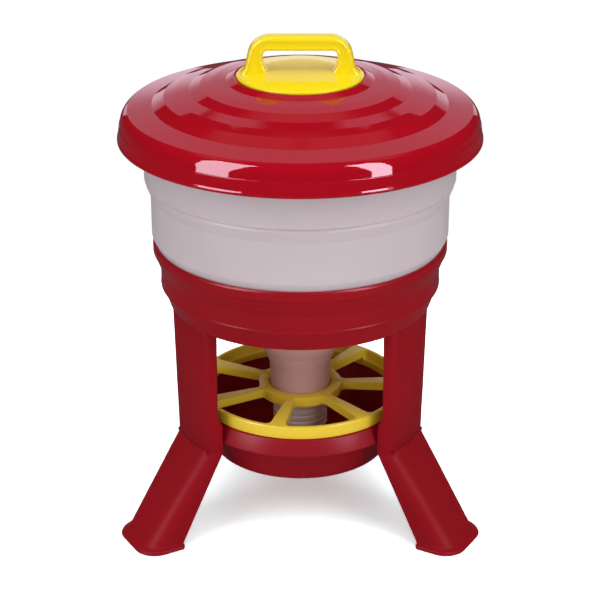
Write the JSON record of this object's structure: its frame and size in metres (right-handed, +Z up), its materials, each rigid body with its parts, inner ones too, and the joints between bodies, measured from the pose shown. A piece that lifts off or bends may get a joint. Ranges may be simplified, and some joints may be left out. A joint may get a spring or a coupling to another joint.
{
  "type": "poultry hopper feeder",
  "caption": "Gravity poultry feeder: a lidded tub with a funnel stands on splayed legs over a round pan with a spoked grid.",
  "frame": {"origin": "on the floor plane under the middle of the bounding box; the feeder's own axis stands 13 mm in front of it", "axes": "+Z up; -Y is the side that faces the picture's camera, between the two front legs; +X to the right of that view"},
  "size_m": [0.4322, 0.446, 0.5964],
  "materials": {
    "lid_red": "glossy red moulding",
    "stand_red": "satin red moulding",
    "pan_red": "satin red moulding",
    "handle_yellow": "satin yellow moulding",
    "grid_yellow": "satin yellow moulding",
    "tub_milky": "milky, faintly translucent natural plastic",
    "sleeve_milky": "milky natural plastic",
    "zinc_steel": "bright zinc plate"
  },
  "bodies": {
    "stand": {"stand_collar": "stand_red", "upright_left": "stand_red", "upright_rear": "stand_red", "upright_right": "stand_red", "foot_left": "stand_red", "foot_rear": "stand_red", "foot_right": "stand_red", "feed_pan": "pan_red", "feed_cone": "pan_red", "cone_screw": "zinc_steel", "collar_screw_left_a": "zinc_steel", "collar_screw_left_b": "zinc_steel", "collar_screw_rear_a": "zinc_steel", "collar_screw_rear_b": "zinc_steel", "collar_screw_right_a": "zinc_steel", "collar_screw_right_b": "zinc_steel", "foot_screw_left": "zinc_steel", "foot_screw_rear": "zinc_steel", "foot_screw_right": "zinc_steel", "pan_screw_left": "zinc_steel", "pan_screw_rear": "zinc_steel", "pan_screw_right": "zinc_steel"},
    "grid": {"feeding_grid": "grid_yellow"},
    "hopper": {"hopper_tub": "tub_milky"},
    "regulator": {"flow_regulator": "sleeve_milky"},
    "lid": {"lid_shell": "lid_red", "lid_handle": "handle_yellow", "handle_screw_left": "zinc_steel", "handle_screw_right": "zinc_steel", "handle_washer_left": "zinc_steel", "handle_washer_right": "zinc_steel"}
  },
  "joints": [
    {"name": "grid_turn", "type": "hinge", "parent": "stand", "child": "grid", "pos_m": [0, -0.013, 0.15], "axis": [0, 0, 1], "continuous": true},
    {"name": "hopper_lift", "type": "slide", "parent": "stand", "child": "hopper", "axis": [0, 0, 1], "range_m": [0, 0.26]},
    {"name": "regulator_travel", "type": "slide", "parent": "hopper", "child": "regulator", "axis": [0, 0, 1], "range_m": [0, 0.024]},
    {"name": "lid_lift", "type": "slide", "parent": "hopper", "child": "lid", "axis": [0, 0, 1], "range_m": [0, 0.1]}
  ]
}
